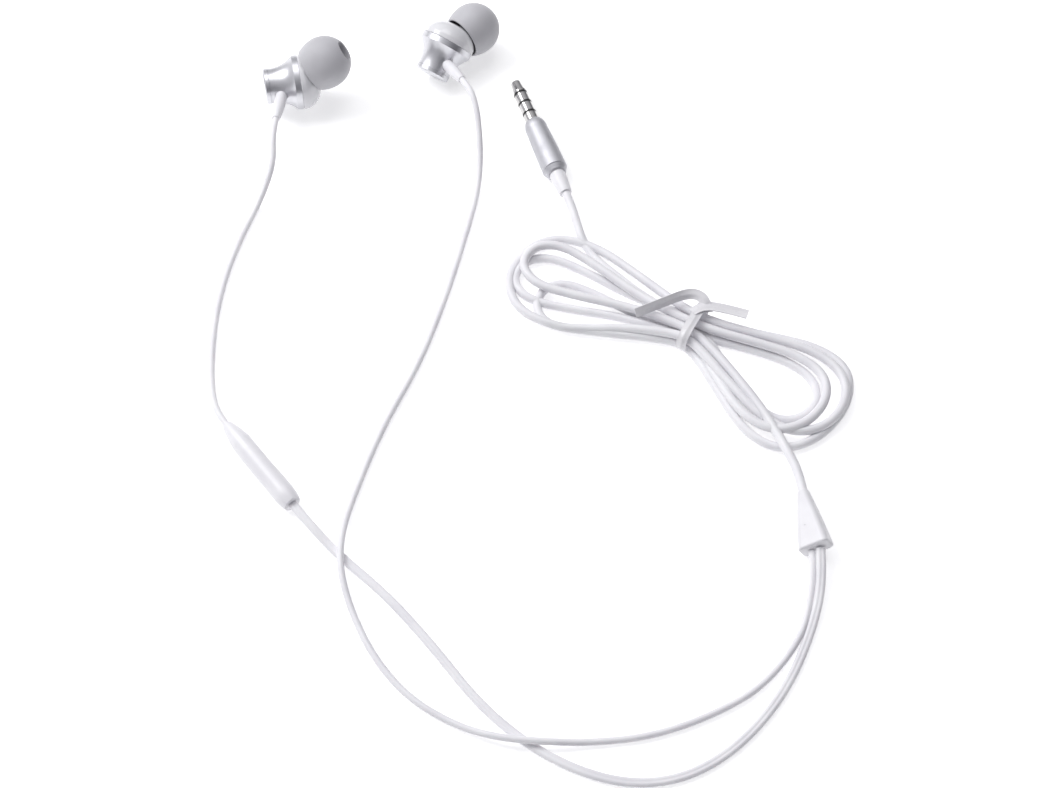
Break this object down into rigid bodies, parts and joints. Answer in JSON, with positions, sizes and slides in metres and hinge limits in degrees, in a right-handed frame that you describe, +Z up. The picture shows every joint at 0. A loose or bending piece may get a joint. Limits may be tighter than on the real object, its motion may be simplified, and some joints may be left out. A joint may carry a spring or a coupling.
{
  "type": "wired in-ear earphones",
  "caption": "Wired in-ear earphones with metal shells, grey silicone tips, an in-line remote, a splitter, a straight audio plug and the slack cable tied in a hank.",
  "frame": {"origin": "on the surface the earphones lie on, midway between the outer limits of the two earbuds", "axes": "+X from the left earbud towards the right one, +Y away from the cables, +Z up from the surface"},
  "size_m": [0.1455, 0.2055, 0.018],
  "materials": {
    "satin_aluminium": "satin turned",
    "gloss_white": "glossy",
    "steel_mesh": "fine woven mesh",
    "grey_silicone": "matte silicone",
    "black_plastic": "matte",
    "soft_iron": "satin",
    "nickel_magnet": "nickel plated",
    "copper": "enamelled winding wire",
    "clear_film": "thin film",
    "green_board": "solder mask",
    "white_rubber": "soft matte",
    "steel_dome": "pressed",
    "nickel_can": "satin",
    "remote_white": "satin",
    "splitter_white": "satin",
    "black_insulator": "glossy",
    "satin_barrel": "satin with a polished bevel",
    "polished_contact": "polished",
    "tie_white": "plastic skin over wire",
    "white_cord": "soft-touch jacket"
  },
  "bodies": {
    "root": {"left_cord": "white_cord", "left_driver_frame": "black_plastic", "left_front_chamber": "gloss_white", "left_magnet": "nickel_magnet", "left_nozzle_mesh": "steel_mesh", "left_pole_plate": "soft_iron", "left_rear_shell": "satin_aluminium", "left_strain_relief": "white_rubber", "left_surround": "clear_film", "left_terminal_board": "green_board", "left_yoke": "soft_iron", "main_cord_hank": "white_cord", "main_cord_to_hank": "white_cord", "main_cord_to_plug": "white_cord", "plug_barrel": "satin_barrel", "plug_inner_mould": "white_rubber", "plug_insulators": "black_insulator", "plug_ring_1_contact": "polished_contact", "plug_ring_2_contact": "polished_contact", "plug_sleeve_contact": "polished_contact", "plug_strain_relief": "white_rubber", "plug_tip_contact": "polished_contact", "remote_circuit_board": "green_board", "remote_dome_switch": "steel_dome", "remote_front_casing": "remote_white", "remote_microphone": "nickel_can", "remote_rear_casing": "remote_white", "right_cord": "white_cord", "right_driver_frame": "black_plastic", "right_front_chamber": "gloss_white", "right_magnet": "nickel_magnet", "right_nozzle_mesh": "steel_mesh", "right_pole_plate": "soft_iron", "right_rear_shell": "satin_aluminium", "right_strain_relief": "white_rubber", "right_surround": "clear_film", "right_terminal_board": "green_board", "right_yoke": "soft_iron", "splitter_core": "black_plastic", "splitter_overmould": "splitter_white", "twin_cord": "white_cord", "twist_tie": "tie_white"},
    "left_ear_tip_body": {"left_ear_tip": "grey_silicone"},
    "left_voice_body": {"left_diaphragm": "clear_film", "left_voice_coil": "copper"},
    "right_ear_tip_body": {"right_ear_tip": "grey_silicone"},
    "right_voice_body": {"right_diaphragm": "clear_film", "right_voice_coil": "copper"},
    "button_body": {"remote_button": "remote_white"}
  },
  "joints": [
    {"name": "left_ear_tip_pull", "type": "slide", "parent": "root", "child": "left_ear_tip_body", "axis": [0.8477, 0.2257, 0.4801], "range_m": [0, 0.008]},
    {"name": "left_diaphragm_stroke", "type": "slide", "parent": "root", "child": "left_voice_body", "axis": [0.9833, 0.1822, 0], "range_m": [-0.0002, 0.0002], "stiffness_N_per_m": 12, "deforming": ["left_surround"]},
    {"name": "right_ear_tip_pull", "type": "slide", "parent": "root", "child": "right_ear_tip_body", "axis": [0.7308, 0.6757, 0.0961], "range_m": [0, 0.008]},
    {"name": "right_diaphragm_stroke", "type": "slide", "parent": "root", "child": "right_voice_body", "axis": [0.4606, 0.7229, 0.515], "range_m": [-0.0002, 0.0002], "stiffness_N_per_m": 12, "deforming": ["right_surround"]},
    {"name": "remote_button_press", "type": "slide", "parent": "root", "child": "button_body", "axis": [-0.7896, -0.6137, 0], "range_m": [0, 0.0003], "stiffness_N_per_m": 400}
  ]
}
